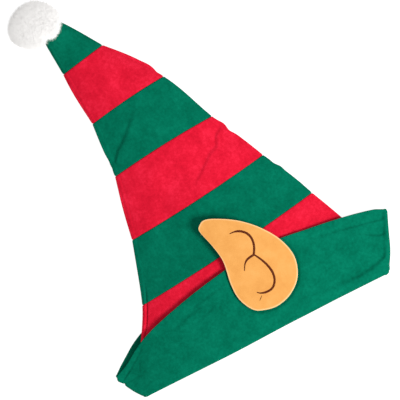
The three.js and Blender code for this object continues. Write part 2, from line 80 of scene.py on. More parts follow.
# The strips: the seam that each starts from, and how far its sides swell out, as shares of cone_mouth.
strips = [
    dict(node="strip_1_green_tip", seam=6, slot="felt_green", left_swell=0, right_swell=0.003),
    dict(node="strip_2_red", seam=5, slot="felt_red", left_swell=0.006, right_swell=0.012),
    dict(node="strip_3_green", seam=4, slot="felt_green", left_swell=0.006, right_swell=0.001),
    dict(node="strip_4_red", seam=3, slot="felt_red", left_swell=0.007, right_swell=0.003),
    dict(node="strip_5_green", seam=2, slot="felt_green", left_swell=0.003, right_swell=0.004),
    dict(node="strip_6_red", seam=1, slot="felt_red", left_swell=0, right_swell=0.002),
]


def spline(values, place):
    """A smooth curve that passes through the values at 0, 1, 2 and so on."""
    v = np.asarray(values, dtype=float)
    last = len(v) - 1
    place = np.clip(place, 0, last)
    i = np.floor(place).astype(int)
    w = place - i
    before, at, after, next_after = (v[np.clip(i + k, 0, last)] for k in (-1, 0, 1, 2))
    slope, next_slope = (after - before) / 2, (next_after - at) / 2
    return (
        at
        + slope * w
        + (3 * (after - at) - 2 * slope - next_slope) * w**2
        + (2 * (at - after) + slope + next_slope) * w**3
    )


def table_curve(values, places, count=1200):
    """The value at any place, from a smooth curve through a table's values and places."""
    steps = np.linspace(0, len(values) - 1, count)
    xs, ys = spline(values, steps), spline(places, steps)
    return lambda y: np.interp(y, ys, xs)


def column(rows, key, size=1.0):
    """One column of a table, whose values are shares of size."""
    return [row[key] * size for row in rows]


left_x, left_y = column(seams, "left_x", cone_mouth), column(seams, "left_y", cone_length)
right_x, right_y = column(seams, "right_x", cone_mouth), column(seams, "right_y", cone_length)
seam_y = [(a + b) / 2 for a, b in zip(left_y, right_y)]
left_edge = table_curve(left_x, left_y)
right_edge = table_curve(right_x, right_y)
loft_along = table_curve(column(seams, "loft", cone_loft), seam_y)
lift_along = table_curve(column(seams, "lift", tip_lift), seam_y)


def smooth(v, low, high):
    """From 0 at low to 1 at high, level at both ends."""
    t = np.clip((v - low) / (high - low), 0, 1)
    return t * t * (3 - 2 * t)


def hump(v, middle, width):
    """1 at the middle, and next to nothing twice the width away from it."""
    return np.exp(-(((v - middle) / width) ** 2))


# The cuff and the lower ear lie under the cone, so their outlines are needed for its height.
cuff_height = 88 * mm
cuff_span = 353 * mm  # from point to point
cuff_shift = 0.0135 * cuff_span  # of the points to the right, past the middle of the mouth

# The cuff's free edge on its two faces: across from -1 at the left point to 1 at the right one, and the
# heights as shares of cuff_height.
free_edge = [
    dict(across=-1, upper=0.34, lower=0.36),
    dict(across=-0.9, upper=0.43, lower=0.505),
    dict(across=-0.7, upper=0.64, lower=0.715),
    dict(across=-0.4, upper=0.81, lower=0.865),
    dict(across=-0.1, upper=0.925, lower=0.95),
    dict(across=0.2, upper=0.995, lower=0.995),
    dict(across=0.5, upper=0.93, lower=0.93),
    dict(across=0.75, upper=0.855, lower=0.85),
    dict(across=0.92, upper=0.78, lower=0.77),
    dict(across=1, upper=0.72, lower=0.71),
]
upper_edge = table_curve(column(free_edge, "upper", cuff_height), column(free_edge, "across"))
lower_edge = table_curve(column(free_edge, "lower", cuff_height), column(free_edge, "across"))
ear_width, ear_length = 82 * mm, 122.5 * mm
ear_middle = np.array([0.083 * mouth_width, 0.79 * cuff_height])
ear_outline = [  # x as a share of ear_width and y of ear_length, from ear_middle
    (-0.492, 0.516), (-0.425, 0.35), (-0.388, 0.183), (-0.433, -0.032), (-0.422, -0.187), (-0.318, -0.324),
    (-0.166, -0.377), (0.024, -0.392), (0.241, -0.346), (0.42, -0.237), (0.503, -0.064), (0.44, 0.124),
    (0.273, 0.301), (0.058, 0.443), (-0.176, 0.543), (-0.361, 0.593), (-0.458, 0.569),
]


def closed_curve(points, count, fineness=8):
    """count points evenly along a smooth closed curve through the given ones."""
    looped = np.array(points[-2:] + points + points[:3], dtype=float)
    steps = np.linspace(2, len(points) + 2, count * fineness + 1)
    fine = np.stack([spline(looped[:, k], steps) for k in (0, 1)], 1)
    run = np.concatenate([[0], np.cumsum(np.linalg.norm(np.diff(fine, axis=0), axis=1))])
    even = np.linspace(0, run[-1], count, endpoint=False)
    return np.stack([np.interp(even, run, fine[:, k]) for k in (0, 1)], 1)


ear_rim = closed_curve([(x * ear_width, y * ear_length) for x, y in ear_outline], count=360)
rim_angle = np.arctan2(ear_rim[:, 1], ear_rim[:, 0])
rim_order = np.argsort(rim_angle)
rim_reach = np.linalg.norm(ear_rim, axis=1)
ear_low, ear_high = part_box("ear_lower")
ear_point = ear_middle + np.array([ear_rim[:, 0].min(), ear_rim[:, 1].max()])
hat_origin = np.array([ear_low.x - ear_point[0], ear_high.y - ear_point[1], 0])  # the middle of its mouth


def past_ear(x, y):
    """How far a place lies outside the ear's outline, as seen from the ear's middle."""
    dx, dy = x - ear_middle[0], y - ear_middle[1]
    reach = np.interp(np.arctan2(dy, dx), rim_angle[rim_order], rim_reach[rim_order], period=2 * math.pi)
    return np.hypot(dx, dy) - reach


def cuff_under(x, y):
    """The height of the cuff's lower layer, at the middle of its wall."""
    over_ear = 1 - smooth(past_ear(x, y), drape_length / 2, drape_length * 1.5)
    return felt_wall / 2 + (ear_thickness + layer_clearance) * over_ear


def cone_under(x, y):
    """The height of the cone's lower layer, at the middle of its wall."""
    edge = lower_edge(np.clip(2 * (x - cuff_shift) / cuff_span, -1, 1)) + felt_wall * 2
    over_cuff = 1 - smooth(y, edge, edge + drape_length)
    return cuff_under(x, y) + turn * over_cuff + np.maximum(0, lift_along(y))


def cone_across(x, y):
    """From -1 at the cone's left edge to 1 at its right one."""
    left, right = left_edge(y), right_edge(y)
    return (2 * x - left - right) / (right - left)


def bulge(across, power):
    """1 in the middle of a layer and 0 at its edges."""
    return np.maximum(0, 1 - across * across) ** power


def cone_over(x, y):
    """The height of the cone's upper layer, at the middle of its wall."""
    return cone_under(x, y) + 2 * edge_radius + loft_along(y) * bulge(cone_across(x, y), cone_bulge)


# Folds that show on the cone: how deep the felt drops there, over what half width, how far it takes to
# rise again, and points in millimetres from the middle of the mouth, from the strong end to the weak one.
cone_folds = [
    dict(
        depth=4.0, width=2.6, back=14,
        points=[
            (-72, 239), (-64, 245), (-57.5, 252), (-47.6, 259.5), (-36, 269.5), (-28, 277.5), (-18, 287),
        ],
    ),
    dict(
        depth=2.8, width=1.5, back=12,
        points=[
            (62, 229), (54, 223.5), (49, 220.5), (43.5, 209), (33.6, 205), (18, 192.6), (8, 185), (3, 181),
        ],
    ),
    dict(depth=1.0, width=2.6, back=8, points=[(97, 153), (90, 145), (80, 138), (68, 133)]),
]
high_side = (0.75, -0.66)  # the way from a fold to where the felt keeps its height


def fold_depth(folds, x, y):
    """How far the felt lies below its even surface: it drops across each fold and rises again behind it."""
    total = np.zeros_like(x)
    for fold in folds:
        points = np.array(fold["points"]) * mm
        best = np.full(x.shape, 1e9)
        signed, along = np.zeros_like(x), np.zeros_like(x)
        for k, (a, b) in enumerate(zip(points, points[1:])):
            d = b - a
            length = np.hypot(*d)
            ahead = np.array([d[1], -d[0]]) / length
            ahead *= np.sign(ahead @ high_side)
            t = np.clip(((x - a[0]) * d[0] + (y - a[1]) * d[1]) / length**2, 0, 1)
            ox, oy = x - a[0] - t * d[0], y - a[1] - t * d[1]
            away = np.hypot(ox, oy)
            nearer = away < best
            best = np.where(nearer, away, best)
            signed = np.where(nearer, np.sign(ox * ahead[0] + oy * ahead[1]) * away, signed)
            along = np.where(nearer, (k + t) / (len(points) - 1), along)
        width, back = fold["width"] * mm, fold["back"] * mm
        # It starts at four fifths of its depth, is full after an eighth of its length and then dies away.
        fade = np.sqrt(np.clip(1 - along, 0, 1)) * smooth(along, -0.3, 0.12)
        drop = smooth(-signed, -width, width) * np.exp(-(np.maximum(0, -signed - width) / back))
        total += fold["depth"] * mm * drop * fade
    return total


def waves(x, y, seed, length):
    """Soft uneven rises and hollows, mostly from -1 to 1, each about as long as given."""
    random = np.random.default_rng(seed)
    total = np.zeros_like(x)
    for _ in range(9):
        angle, phase = random.uniform(0, 2 * math.pi, 2)
        size = length * random.uniform(0.6, 1.7)
        total += np.sin((x * math.cos(angle) + y * math.sin(angle)) * 2 * math.pi / size + phase)
    return total / 4  # nine waves seldom add up to more than four


def stations(upper_steps, lower_steps, side_steps):
    """Where the points of a flattened ring lie across it, and their angles on its side folds. They run
    over the top from right to left, round the left side, back underneath and round the right side."""

    def spread(count):
        share = np.linspace(0, 1, count + 1)
        return 0.5 * (1 - 2 * share) + 0.5 * np.cos(np.pi * share)

    side = np.pi * np.arange(1, side_steps + 1) / (side_steps + 1)
    across = [spread(upper_steps), -np.ones(side_steps), -spread(lower_steps), np.ones(side_steps)]
    angle = [np.zeros(upper_steps + 1), side, np.full(lower_steps + 1, np.pi), side[::-1]]
    return np.concatenate(across), np.concatenate(angle)


def ring_points(across, angle, upper_plan, lower_plan, over, under, side):
    """One ring of felt: the plans say where its layers lie from above, over and under how high they are,
    and side is the radius of its side folds."""
    high_x, high_y = upper_plan(across)
    low_x, low_y = lower_plan(across)
    foot, roof = under(low_x, low_y), over(high_x, high_y)
    share = angle / np.pi
    x = high_x + (low_x - high_x) * share + side * np.sin(angle) * np.sign(across)
    y = high_y + (low_y - high_y) * share
    z = (foot + roof) / 2 + (roof - foot) / 2 * np.cos(angle)
    return np.stack([x, y, z], 1)


# Puckers in the cone's side edges, where a fold or a seam draws the felt in or lets it out: where along
# the hat, how far out of line, and over what length, in millimetres.
puckers = [
    dict(side="left", y=248, out=-0.8, reach=6),
    dict(side="left", y=239, out=-0.7, reach=3),
    dict(side="right", y=323, out=0.9, reach=6),
    dict(side="right", y=312, out=-1.2, reach=4),
    dict(side="right", y=228.5, out=1.4, reach=5),
    dict(side="right", y=218, out=-1.5, reach=4.5),
    dict(side="right", y=164, out=-0.8, reach=4),
    dict(side="right", y=157, out=1.0, reach=4),
]


def pucker(side, y):
    """How far the cone's side edge lies out of line."""
    there = [p for p in puckers if p["side"] == side]
    return sum(p["out"] * mm * hump(y / mm, p["y"], p["reach"]) for p in there)


def cone_ring(place, across, angle):
    """The cone's ring at a place counted in seams: 0 is the mouth, and 1 the hem inside it."""
    left = np.array([spline(left_x, place), spline(left_y, place)])
    right = np.array([spline(right_x, place), spline(right_y, place)])
    for strip in strips:
        if strip["seam"] == math.floor(place):
            swell = math.sin(math.pi * (place - strip["seam"])) * cone_mouth
            left[0] -= strip["left_swell"] * swell
            right[0] += strip["right_swell"] * swell
    left[0] += edge_radius - pucker("left", left[1])
    right[0] += pucker("right", right[1]) - edge_radius
    bow = spline(column(seams, "bow", cone_length), place)

    def plan(a):
        x = left[0] + (right[0] - left[0]) * (a + 1) / 2
        y = left[1] + (right[1] - left[1]) * (a + 1) / 2 + bow * (1 - a * a)
        return x, y

    return ring_points(across, angle, plan, plan, cone_over, cone_under, edge_radius)


def unit(v):
    return v / np.maximum(np.linalg.norm(v, axis=-1, keepdims=True), 1e-12)


def felt_shell(rings, dip, close_at=None, rim_steps=3, rim_bulge=0.8):
    """Felt laid along a grid of rings, of which the first and last only steer, moved in by dip. The cut
    edges are rounded. With a point to close at, the felt ends there in a dome."""
    along = rings[2:] - rings[:-2]
    sideways = np.roll(rings, -1, 1)[1:-1] - np.roll(rings, 1, 1)[1:-1]
    normal = unit(np.cross(along, sideways))
    middle = rings[1:-1] - normal * dip[..., None]
    half = felt_wall / 2
    outside, inside = middle + normal * half, middle - normal * half
    bends = np.pi * np.arange(1, rim_steps + 1) / (rim_steps + 1)

    def rim(row, beyond):
        up, away = normal[row] * half, unit(middle[row] - beyond) * half * rim_bulge
        return [middle[row] + up * math.cos(b) + away * math.sin(b) for b in bends]

    layers = [outside[::-1], *[r[None] for r in rim(0, middle[1])], inside]
    if close_at is None:
        layers += [r[None] for r in rim(-1, middle[-2])[::-1]]
    grid = np.concatenate(layers)
    rows, count = grid.shape[:2]
    verts = grid.reshape(-1, 3)
    i = np.arange(count)
    j = (i + 1) % count
    pairs = [(r, r + 1) for r in range(rows - 1)] + ([(rows - 1, 0)] if close_at is None else [])
    faces = [np.stack([a * count + i, a * count + j, b * count + j, b * count + i], 1) for a, b in pairs]
    faces = np.concatenate(faces).tolist()
    if close_at is not None:
        ahead = unit(close_at - middle[-1].mean(0))
        verts = np.concatenate([verts, [close_at + ahead * half, close_at - ahead * half]])
        outer, inner = len(verts) - 2, len(verts) - 1
        faces += [[outer, int(b), int(a)] for a, b in zip(i, j)]
        last = (rows - 1) * count
        faces += [[inner, last + int(a), last + int(b)] for a, b in zip(i, j)]
    return verts, faces


def place_in_frame(points):
    """From the hat's own origin, at the middle of its mouth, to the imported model's frame."""
    return points + hat_origin


def new_object(name, data):
    made = bpy.data.objects.new(name, data)
    bpy.context.scene.collection.objects.link(made)
    return made


def new_piece(name, verts, faces):
    mesh = bpy.data.meshes.new(name)
    mesh.from_pydata(place_in_frame(verts).tolist(), [], faces)
    mesh.validate()
    mesh.update()
    mesh.shade_smooth()
    return new_object(name, mesh)


def linear(hex_colour):
    """An sRGB hex value as linear red, green, blue and alpha."""
    parts = [int(hex_colour[k : k + 2], 16) / 255 for k in (1, 3, 5)]
    return [*(c / 12.92 if c <= 0.04045 else ((c + 0.055) / 1.055) ** 2.4 for c in parts), 1]


def add(tree, kind, inputs=None, **settings):
    """One node with its settings and inputs: each a value, an output, or a node for its first output."""
    node = tree.nodes.new(kind)
    for name, value in settings.items():
        setattr(node, name, value)
    for key, value in (inputs or {}).items():
        if isinstance(value, bpy.types.Node):
            value = value.outputs[0]
        if isinstance(value, bpy.types.NodeSocket):
            tree.links.new(value, node.inputs[key])
        else:
            node.inputs[key].default_value = value
    return node


def new_material(name):
    material = bpy.data.materials.new(name)
    material.use_nodes = True
    material.node_tree.nodes.clear()
    return material, material.node_tree


def three_tones(tree, value, low, high, dark, middle, light):
    """A colour from dark to light as the value goes from low to high."""
    tone = add(tree, "ShaderNodeMapRange", {"Value": value, "From Min": low, "From Max": high})
    ramp = add(tree, "ShaderNodeValToRGB", {"Fac": tone})
    ramp.color_ramp.elements[0].color = linear(dark)
    ramp.color_ramp.elements[1].color = linear(light)
    ramp.color_ramp.elements.new(0.5).color = linear(middle)
    return ramp.outputs["Color"]


# Needled polyester felt: matt, with cloudy patches where the fibres lie differently, a fine tangle of
# fibres, and a little light caught by the loose ones at glancing angles.
def felt(name, colour, dark, light):
    material, tree = new_material(name)
    where = add(tree, "ShaderNodeTexCoord").outputs["Object"]
    # Clouds 18 mm across, tangles of 3 mm and tufts of 1 mm, which stand for fibres too fine to show.
    cloud, tangle, fibre = (
        add(tree, "ShaderNodeTexNoise", {"Vector": where, "Scale": many, "Detail": 4.0, "Roughness": rough})
        for many, rough in ((55.0, 0.6), (300.0, 0.7), (1100.0, 0.75))  # how many to a metre
    )
    both = add(tree, "ShaderNodeMath", {0: cloud, 1: tangle}, operation="ADD")
    bump = add(tree, "ShaderNodeBump", {"Strength": 0.45, "Distance": 0.6 * mm, "Height": fibre})
    values = {
        "Base Color": three_tones(tree, both, 0.65, 1.35, dark, colour, light),
        "Roughness": 0.95,
        "Specular IOR Level": 0.02,
        "Sheen Weight": 0.15,
        "Sheen Roughness": 0.5,
        "Sheen Tint": linear(light),
        "Normal": bump.outputs["Normal"],
    }
    shader = add(tree, "ShaderNodeBsdfPrincipled", values)
    add(tree, "ShaderNodeOutputMaterial", {"Surface": shader})
    return material


felts = {
    "felt_green": felt("polyester_felt_green", "#016049", "#00523D", "#046D54"),
    "felt_red": felt("polyester_felt_red", "#C8162E", "#B40F25", "#DC233E"),
}

cone_across_at, cone_angle_at = stations(upper_steps=170, lower_steps=64, side_steps=6)
seam_roll = 1.4 * mm  # the radius at which a strip's edge turns in at its seam
seam_slit = 0.05 * mm  # between two strips
steer = 0.02  # how far past a strip's end the felt's direction is taken, in seams
tip_steer = 0.1  # and how far back from the tip
margin = 0.001  # that keeps a place inside its strip, in seams
roll_rows = (0, 0.06, 0.2, 0.42, 0.7, 1.0)  # shares of seam_roll
dome_rows = (0.2, 0.4, 0.6, 0.8)  # shares of a quarter turn, over the gathered tip

# The seam that closes the tube, in millimetres from the left edge: a groove and a raised seam allowance
# beside it, along the whole cone and more so at the mouth.
side_seam = [
    dict(place=4.8, width=0.8, depth=0.15, more_at_mouth=1.8),
    dict(place=2.6, width=1.3, depth=-0.25, more_at_mouth=-0.6),
]


def row_distances(length, step=1.7 * mm):
    """Rows along a strip: close together where it turns in at its seams, and even between."""
    edge = np.array(roll_rows) * seam_roll
    count = max(4, round((length - 2 * seam_roll) / step))
    inner = np.linspace(seam_roll, length - seam_roll, count + 1)[1:-1]
    return np.concatenate([edge, inner, length - edge[::-1]])


def seam_dip(distance):
    """How far a strip has turned in at a distance from its seam."""
    inward = np.clip(1 - distance / seam_roll, 0, 1)
    return seam_roll * (1 - np.sqrt(1 - inward**2))


def cone_relief(rings):
    """Folds, the side seam and soft unevenness over the cone's upper layer, and a little below."""
    x, y = rings[..., 0], rings[..., 1]
    upper = (cone_angle_at == 0).astype(float)[None]
    soft = 1 - np.abs(cone_across_at[None]) ** 12
    clear_of_cuff = smooth(y, 80 * mm, 110 * mm)
    relief = fold_depth(cone_folds, x, y) * upper * soft
    uneven = waves(x, y, seed=5, length=46 * mm) * 0.45 * mm
    relief += uneven * soft * clear_of_cuff * (0.3 + 0.7 * upper)  # less on the table's side
    side = (x - left_edge(y)) / mm
    near_mouth = 1 - smooth(y, 84 * mm, 112 * mm)
    for line in side_seam:
        depth = (line["depth"] + line["more_at_mouth"] * near_mouth) * mm
        relief += depth * hump(side, line["place"], line["width"]) * upper
    return relief


for strip in strips:
    seam = strip["seam"]
    length = seam_y[seam + 1] - seam_y[seam]
    is_tip = seam == len(seams) - 2
    distances = row_distances(length) + seam_slit / 2
    if is_tip:
        distances = distances[distances < length - seam_roll]
    places = [seam + (1 - 2 * margin) * d / length + margin for d in distances]
    steered = [places[0] - steer, *places, places[-1] + steer]
    rings = [cone_ring(p, cone_across_at, cone_angle_at) for p in steered]
    dips = seam_dip(distances)
    close_at = None
    if is_tip:
        last = cone_ring(seam + 1, cone_across_at, cone_angle_at)
        centre = last.mean(0)
        ahead = unit(centre - cone_ring(seam + 1 - tip_steer, cone_across_at, cone_angle_at).mean(0))
        close_at = centre + ahead * tip_reach
        rings = rings[:-1] + [last]
        for bend in dome_rows:
            a = bend * math.pi / 2
            rings.append(last + (centre - last) * (1 - math.cos(a)) + ahead * tip_reach * math.sin(a))
        rings.append(np.repeat(close_at[None], len(last), 0))
        dips = np.concatenate([dips, np.zeros(len(rings) - 2 - len(dips))])
    else:
        dips = np.maximum(dips, seam_dip(length - distances))
    rings = np.array(rings)
    dip = dips[:, None] + cone_relief(rings[1:-1]) * smooth(dips[:, None], seam_roll, 0)
    piece = new_piece(strip["node"] + "_felt", *felt_shell(rings, dip, close_at))
    piece.data.materials.append(felts[strip["slot"]])
    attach(piece, "root")
    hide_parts(strip["node"])


# The cuff: one band of green felt, sewn on inside the mouth, folded out round it and turned up over the
# cone. Its two ends are seamed to points that stand out past the mouth. The free edge is cut and raw.

cuff_swell = 3 * mm  # how far its end seams bow out between the fold and the points
cuff_opening = 3 * mm  # how far the free edge stands off the cone
edge_bulge = 0.35  # how much rounder than the cone the cuff is there, added to cone_bulge
wrap_end = 0.8  # share of the cuff's height above which its ends no longer wrap the cone's sides


def cuff_half(rise):
    """Half the cuff's width, at a share of its height."""
    swell = cuff_swell * np.sin(math.pi * np.sqrt(rise))
    return (mouth_width + (cuff_span - mouth_width) * rise) / 2 + swell


def cuff_side(rise):
    """The radius of the folds at its ends, which are wide enough to hold the cone's near the mouth."""
    return edge_radius + turn * (1 - smooth(rise, 0, wrap_end))


def cuff_place(x, y, edge, rounds=6):
    """Where a place lies across the cuff, from -1 to 1, and at what share of its height. Each depends on
    the other, so they are settled in rounds."""
    across, rise = np.zeros_like(x), np.zeros_like(x)
    for _ in range(rounds):
        rise = np.clip(y / edge(np.clip(across, -1, 1)), 0, 1)
        across = (x - cuff_shift * rise) / cuff_half(rise)
    return across, rise


def smooth_max(a, b, band):
    return np.maximum(a, b) + np.maximum(band - np.abs(a - b), 0) ** 2 / (4 * band)


def cuff_over(x, y):
    """The height of the cuff's upper layer, at the middle of its wall."""
    across, rise = cuff_place(x, y, upper_edge)
    side = cuff_side(rise)
    loft = loft_along(y) + 2 * (turn + edge_radius - side) + cuff_opening * rise * rise
    span = cuff_under(x, y) + 2 * side + loft * bulge(across, cone_bulge + edge_bulge * rise)
    beyond = np.maximum(0, np.abs(cone_across(x, y)) - 1) * cone_mouth
    return smooth_max(span, cone_over(x, y) + turn - beyond, fold_space)


cuff_folds = [  # four on the right, of which the last rolls in above the mouth, and four on the left
    dict(
        depth=2.8, width=1.8, back=9,
        points=[
            (173, 54), (163, 56.5), (154.7, 58), (142.5, 60.6), (131, 63), (121.7, 65),
            (100.7, 69), (82, 72),
        ],
    ),
    dict(
        depth=2.4, width=1.6, back=8,
        points=[(170, 37.5), (166, 39), (158, 41.8), (151.8, 45.5), (147, 48.5), (139, 53)],
    ),
    dict(depth=0.9, width=1.8, back=8, points=[(171, 46), (163, 33), (158, 22), (154, 13)]),
    dict(
        depth=3.2, width=2.6, back=16,
        points=[(154, 16), (143.8, 13), (134.6, 11.3), (123.7, 10.4), (113, 10.4), (99, 12), (70, 12)],
    ),
    dict(depth=1.6, width=2.4, back=6, points=[(-26, 66), (-44, 62.7), (-67, 59.3), (-88, 56)]),
    dict(depth=1.6, width=2.4, back=7, points=[(-58, 56), (-69, 54), (-80.5, 50.6), (-90, 46)]),
    dict(depth=1.2, width=2.5, back=10, points=[(-48, 48), (-60, 44), (-74, 42)]),
    dict(
        depth=1.3, width=1.6, back=4,
        points=[(-161, 24.5), (-157, 26.5), (-148, 32.4), (-137, 39.8), (-129, 46.8), (-120, 52)],
    ),
]
groove_depth, groove_width = 2.4 * mm, 1.6 * mm  # of the felt drawn down along the ear that is sewn to it
groove_place = 0.5 * mm  # outside the ear's edge
cuff_across_at, cuff_angle_at = stations(upper_steps=300, lower_steps=80, side_steps=6)
outer_rows = 64  # from the free edge to the fold
fold_steps = 10
hem_rows = 13


def cuff_ring(rise):
    """The cuff's ring at a share of its height."""
    side = cuff_side(rise)
    half = cuff_half(rise) - side

    def plan_on(edge):
        return lambda a: (cuff_shift * rise + half * a, rise * edge(a))

    plans = plan_on(upper_edge), plan_on(lower_edge)
    return ring_points(cuff_across_at, cuff_angle_at, *plans, cuff_over, cuff_under, side)


def fold_ring(outer, inner, angle):
    """A ring between the cuff's last ring and the cone's first, on a half circle round the mouth."""
    across = inner - outer
    ring = (outer + inner) / 2 - across * math.cos(angle) / 2
    ring[:, 1] -= np.linalg.norm(across, axis=1) / 2 * math.sin(angle)
    return ring


outer = [cuff_ring(r) for r in np.linspace(1, 0, outer_rows + 1)]
fold = outer.pop()
mouth = cone_ring(0, cuff_across_at, cuff_angle_at)
inner_places = np.linspace(0, 1, hem_rows + 1)[1:] * (1 - seam_slit / 2 / seam_y[1])
rings = [2 * outer[0] - outer[1], *outer]
rings += [fold_ring(fold, mouth, math.pi * k / fold_steps) for k in range(fold_steps + 1)]
rings += [cone_ring(p, cuff_across_at, cuff_angle_at) for p in inner_places]
rings.append(cone_ring(inner_places[-1] + steer, cuff_across_at, cuff_angle_at))
rings = np.array(rings)

# The fold sags a little to the left of the middle and is drawn up to the right of it.
x, y = rings[..., 0], rings[..., 1]  # changes to these change the rings
sag_left, rise_right = 1.3 * mm, 0.8 * mm
sag = smooth(x, -55 * mm, 45 * mm) * (sag_left + rise_right) - sag_left
y += sag * (1 - smooth(y, 0, 26 * mm))

# The left point is cut back, with a nick below it where the end seam is fastened off.
ends_from = 135 * mm  # from the middle of the mouth
cut_back = 2.3 * smooth(y, 23 * mm, 31 * mm)
nick = 1.8 * hump(y / mm, 19.5, 1.4) - 1.3 * hump(y / mm, 25.5, 2.5)
x += smooth(-x, ends_from, 160 * mm) * (cut_back + nick) * mm

# The corners at the fold stand out, the right end bows out above its corner and its point is cut back.
corners = [  # in millimetres: on which end, how far out, how far above the fold and over what reach
    dict(end=-1, out=2.2, y=-3, reach=3),
    dict(end=1, out=2.2, y=0.5, reach=4),
    dict(end=1, out=0.8, y=20, reach=14),
]
for corner in corners:
    out = corner["out"] * mm * hump(y / mm, corner["y"], corner["reach"])
    x += corner["end"] * out * smooth(corner["end"] * x, ends_from, 150 * mm)
x -= 1.6 * mm * smooth(y, 60 * mm, 64 * mm) * smooth(x, 168 * mm, 178 * mm)

# Where the felt is drawn in: at its folds, where it rolls under at the mouth, more so on the right, and
# beside the ear. It stands out a little along its free edge on the left, and is uneven all over.
x, y = rings[1:-1, :, 0], rings[1:-1, :, 1]
row = np.arange(len(rings) - 2)[:, None]
upper = (cuff_angle_at == 0).astype(float)[None]
outside = (row < outer_rows).astype(float) * upper
soft = smooth(1 - np.abs(cuff_across_at[None]), 0, 0.025)
dip = fold_depth(cuff_folds, x, y) * outside * soft
on_cone = 1 - smooth(np.abs(cone_across(x, y)), 0.9, 1.03)
along_edge = smooth(np.clip(1 - row / outer_rows, 0, 1), 0.8, 1) * smooth(-x, 20 * mm, 60 * mm)
dip -= 0.5 * mm * along_edge * on_cone * outside
roll = 1.8 * mm * (0.3 + 0.7 * smooth(x, 40 * mm, 110 * mm)) * (1 - smooth(y, 0, 9 * mm))
dip += roll * np.clip(1 - (row - outer_rows) / fold_steps, 0, 1) * upper
dip += groove_depth * hump(past_ear(x, y), groove_place, groove_width) * outside
dip -= waves(x, y, seed=11, length=38 * mm) * 0.5 * mm * outside * soft
cuff = new_piece("cuff_felt", *felt_shell(rings, -dip))
cuff.data.materials.append(felts["felt_green"])
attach(cuff, "root")
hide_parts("cuff")


# The ears: one on each face, die-cut from thick stiff felt in tan, sewn down at the lobe and loose at
# the point, which stands up from the cone. A pale band along the cut edge is partly the paler cut felt
# and partly a painted highlight where the rounded edge catches the light.

ear_edge = 0.7 * mm  # radius of the worn edge
ear_rise = 2 * mm  # of the loose point
ear_end = ear_middle[1] + ear_length * max(y for _, y in ear_outline)


def upper_ear_seat(x, y):
    """The height of the upper ear's back: it lies on the cuff and stands up past the cuff's free edge."""
    across, _ = cuff_place(x, y, upper_edge)
    edge = upper_edge(np.clip(across, -1, 1))
    past = np.maximum(0, (y - edge) / (ear_end - edge))
    return cuff_over(x, np.minimum(y, edge)) + felt_wall / 2 + layer_clearance + ear_rise * past**2


def ear_mesh(seat, flat_rows=26, edge_rows=6, border=2 * mm):
    """A plate over the ear's outline, with a rounded edge. Rings run from its lower middle round the
    edge to its upper middle."""
    rim = ear_rim[::2]
    reach = np.linalg.norm(rim, axis=1)
    levels = [(share * (1 - border / reach), 0.0) for share in np.linspace(0.04, 1, flat_rows)]
    for bend in np.linspace(0, np.pi / 2, edge_rows):
        levels.append((1 - ear_edge * (1 - math.sin(bend)) / reach, ear_edge * (1 - math.cos(bend))))
    levels += [(share, ear_thickness - up) for share, up in levels[::-1]]
    verts = [[*ear_middle, float(seat(*ear_middle))]]
    for share, up in levels:
        x, y = (ear_middle + rim * share[:, None]).T
        verts += np.stack([x, y, seat(x, y) + up], 1).tolist()
    verts.append([*ear_middle, float(seat(*ear_middle)) + ear_thickness])
    count, rows = len(rim), len(levels)
    faces = []
    for i in range(count):
        j = (i + 1) % count
        faces.append([0, 1 + j, 1 + i])
        for r in range(rows - 1):
            a, b = 1 + r * count, 1 + (r + 1) * count
            faces.append([a + i, a + j, b + j, b + i])
        last = 1 + (rows - 1) * count
        faces.append([last + i, last + j, len(verts) - 1])
    return np.array(verts), faces


# Pressed, stiffened felt: smoother than the hat's, with faint clouds 17 mm across, tufts of 0.8 mm that
# stand for fibres too fine to show, and a pale band along the cut that is partly paler cut felt and
# partly a painted highlight on the rounded edge.
ear_felt, ear_tree = new_material("stiff_felt_tan")
where = add(ear_tree, "ShaderNodeTexCoord").outputs["Object"]
cloud_size = {"Vector": where, "Scale": 60.0, "Detail": 5.0, "Roughness": 0.65}
cloud = add(ear_tree, "ShaderNodeTexNoise", cloud_size)
fibre_size = {"Vector": where, "Scale": 1300.0, "Detail": 4.0, "Roughness": 0.7}
fibre = add(ear_tree, "ShaderNodeTexNoise", fibre_size)
face_colour = three_tones(ear_tree, cloud, 0.3, 0.7, "#C68946", "#CC904C", "#D29754")
# painted highlight: the pale band along the cut is partly paler cut felt, partly light caught by the
# rounded edge
at_cut_and_highlight = add(ear_tree, "ShaderNodeAttribute", attribute_name="cut_edge_and_highlight").outputs["Fac"]
colour = add(ear_tree, "ShaderNodeMix", {0: at_cut_and_highlight, 6: face_colour, 7: linear("#E0B480")}, data_type="RGBA")
bump = add(ear_tree, "ShaderNodeBump", {"Strength": 0.3, "Distance": 0.5 * mm, "Height": fibre})
values = {
    "Base Color": colour.outputs[2],
    "Roughness": 0.9,
    "Specular IOR Level": 0.05,
    "Sheen Weight": 0.05,
    "Sheen Roughness": 0.5,
    "Normal": bump.outputs["Normal"],
}
ear_shader = add(ear_tree, "ShaderNodeBsdfPrincipled", values)
add(ear_tree, "ShaderNodeOutputMaterial", {"Surface": ear_shader})

for node, seat in (("ear_upper", upper_ear_seat), ("ear_lower", lambda x, y: 0 * x)):
    verts, faces = ear_mesh(seat)
    piece = new_piece(node + "_felt", verts, faces)
    bm = bmesh.new()
    bm.from_mesh(piece.data)
    bmesh.ops.recalc_face_normals(bm, faces=bm.faces)
    bm.to_mesh(piece.data)
    bm.free()
    # the pale band along the cut edge: partly paler cut felt, partly a painted highlight
    cut_and_highlight = piece.data.attributes.new("cut_edge_and_highlight", "FLOAT", "POINT")
    cut_and_highlight.data.foreach_set("value", smooth(past_ear(verts[:, 0], verts[:, 1]), -1.2 * mm, -0.5 * mm))
    piece.data.materials.append(ear_felt)
    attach(piece, "root")
    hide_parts(node)


# The lines on the upper ear: machine embroidery in brown thread, laid across each line in close satin
# stitches that narrow towards its loose ends, and one small tack that holds the lobe down.

